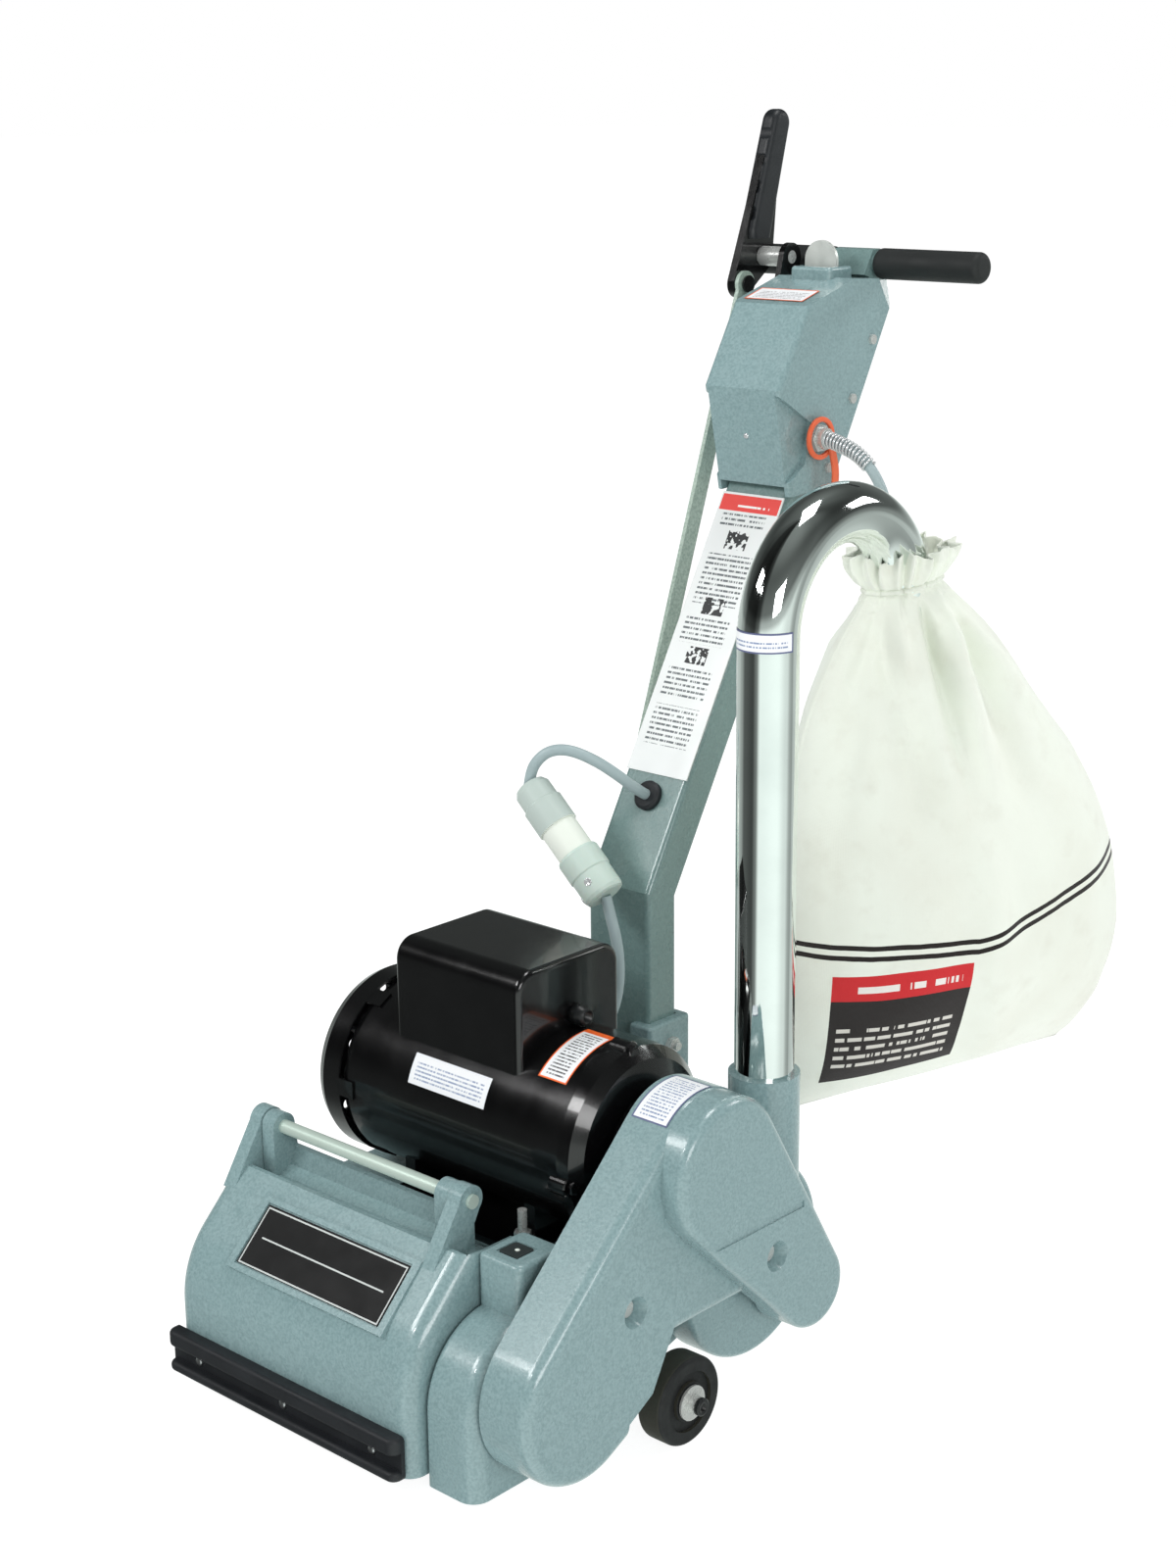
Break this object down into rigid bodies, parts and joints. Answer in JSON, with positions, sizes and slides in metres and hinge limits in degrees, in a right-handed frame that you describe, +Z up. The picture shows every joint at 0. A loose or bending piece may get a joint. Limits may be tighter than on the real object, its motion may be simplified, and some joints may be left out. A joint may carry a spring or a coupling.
{
  "type": "floor drum sander",
  "caption": "Walk-behind floor drum sander with a hinged drum cover, black motor, belt guard, chrome dust pipe with a cloth bag, leaning handle column, lift lever and T-handle.",
  "frame": {"origin": "on the floor, at the middle of the machine's footprint box without its free cords", "axes": "+Z up, +Y from the drum cover back to the operator, +X towards the belt guard"},
  "size_m": [0.5442, 0.7564, 1.0491],
  "materials": {
    "hammertone": "hammered grey enamel, semi-gloss",
    "motor_black": "black semi-gloss enamel",
    "chrome_tube": "polished chrome plate",
    "steel": "machined steel",
    "zinc": "zinc plated",
    "aluminium": "cast aluminium",
    "cast_iron": "machined cast iron",
    "rubber": "matte black rubber",
    "drum_rubber": "firm drum covering",
    "tyre": "worn solid tyre",
    "belt": "woven-backed vee belt",
    "black_plastic": "black moulded plastic",
    "grey_plastic": "pale grey moulded plastic",
    "white_plastic": "white moulded plastic",
    "canvas": "cream cotton canvas",
    "abrasive": "resin-bonded abrasive paper",
    "black_plate": "black plate with a bright border",
    "panel": "printed panel",
    "copper": "wound core"
  },
  "bodies": {
    "machine": {"shaft_bearings": "steel", "main_casting": "hammertone", "cover_hinge_rod": "steel", "motor_shell": "motor_black", "motor_stator": "copper", "drive_end_bell": "motor_black", "fan_end_bell": "motor_black", "fan_cover": "motor_black", "motor_base": "motor_black", "capacitor_cover": "motor_black", "start_capacitor": "aluminium", "drum_belt": "belt", "fan_belt": "belt", "belt_guard": "hammertone", "blower_housing": "hammertone", "exhaust_pipe": "chrome_tube", "dust_bag": "canvas", "cable_grommet": "rubber", "column_panel": "panel", "handle_column": "hammertone", "column_bracket": "hammertone", "switch_housing": "hammertone", "switch_body": "black_plastic", "t_handle": "motor_black", "handle_grips": "rubber", "lever_bracket": "motor_black", "lever_pivot_bolt": "zinc", "caster_plate": "steel", "motor_lead_upper": "rubber", "lead_plug": "grey_plastic", "lead_connector": "white_plastic", "motor_lead_lower": "rubber", "cord_glands": "black_plastic", "power_cord": "rubber", "power_plug": "black_plastic", "machine_screws": "zinc"},
    "cover": {"drum_cover": "hammertone", "front_bumper": "rubber", "cover_plate": "black_plate"},
    "drum": {"drum_core": "aluminium", "drum_rubber_sleeve": "drum_rubber", "abrasive_sleeve": "abrasive", "drum_shaft": "steel", "drum_pulley": "cast_iron"},
    "motor_armature": {"motor_rotor": "steel", "motor_fan": "aluminium", "motor_pulley": "cast_iron"},
    "blower_fan": {"impeller": "aluminium", "blower_shaft": "steel", "blower_pulley": "cast_iron"},
    "lift_lever": {"lift_lever": "motor_black", "lift_lever_grip": "rubber"},
    "lift_link": {"lift_link": "steel"},
    "truck": {"truck_frame": "hammertone", "wheel_axle": "zinc"},
    "left_wheel": {"left_wheel": "tyre"},
    "right_wheel": {"right_wheel": "tyre"},
    "caster_fork": {"caster_fork": "steel"},
    "caster_wheel": {"caster_wheel": "tyre"},
    "switch_paddle": {"switch_paddle": "black_plastic"}
  },
  "joints": [
    {"name": "cover_hinge", "type": "hinge", "parent": "machine", "child": "cover", "pos_m": [-0.08009, -0.26854, 0.213], "axis": [-1, 0, 0], "range_deg": [0, 75]},
    {"name": "motor_spin", "type": "hinge", "parent": "machine", "child": "motor_armature", "pos_m": [-0.08009, -0.12954, 0.235], "axis": [1, 0, 0], "continuous": true},
    {"name": "drum_spin", "type": "hinge", "parent": "machine", "child": "drum", "pos_m": [-0.08009, -0.27454, 0.0762], "axis": [1, 0, 0], "continuous": true},
    {"name": "blower_spin", "type": "hinge", "parent": "machine", "child": "blower_fan", "pos_m": [-0.08009, -0.02554, 0.102], "axis": [1, 0, 0], "continuous": true},
    {"name": "lift_lever_pull", "type": "hinge", "parent": "machine", "child": "lift_lever", "pos_m": [-0.13809, 0.31046, 0.917], "axis": [-1, 0, 0], "range_deg": [0, 30]},
    {"name": "link_swing", "type": "hinge", "parent": "lift_lever", "child": "lift_link", "pos_m": [-0.13809, 0.28146, 0.893], "axis": [1, 0, 0], "range_deg": [0, 30]},
    {"name": "truck_tilt", "type": "hinge", "parent": "machine", "child": "truck", "pos_m": [-0.08009, -0.08854, 0.06], "axis": [1, 0, 0], "range_deg": [0, 12]},
    {"name": "left_wheel_spin", "type": "hinge", "parent": "truck", "child": "left_wheel", "pos_m": [-0.24959, -0.15754, 0.0381], "axis": [1, 0, 0], "continuous": true},
    {"name": "right_wheel_spin", "type": "hinge", "parent": "truck", "child": "right_wheel", "pos_m": [0.16291, -0.15754, 0.0381], "axis": [1, 0, 0], "continuous": true},
    {"name": "caster_swivel", "type": "hinge", "parent": "machine", "child": "caster_fork", "pos_m": [-0.05609, 0.02346, 0.07], "axis": [0, 0, 1], "continuous": true},
    {"name": "caster_wheel_spin", "type": "hinge", "parent": "caster_fork", "child": "caster_wheel", "pos_m": [-0.05609, 0.04346, 0.031], "axis": [1, 0, 0], "continuous": true},
    {"name": "switch_toggle", "type": "hinge", "parent": "machine", "child": "switch_paddle", "pos_m": [-0.05809, 0.30146, 0.892], "axis": [1, 0, 0], "range_deg": [-18, 18]}
  ],
  "couplings": [
    {"joint": "drum_spin", "follows": "motor_spin", "ratio": 0.6667},
    {"joint": "blower_spin", "follows": "motor_spin", "ratio": 1.6111},
    {"joint": "link_swing", "follows": "lift_lever_pull", "ratio": 0.9835},
    {"joint": "truck_tilt", "follows": "lift_lever_pull", "ratio": 0.388}
  ]
}
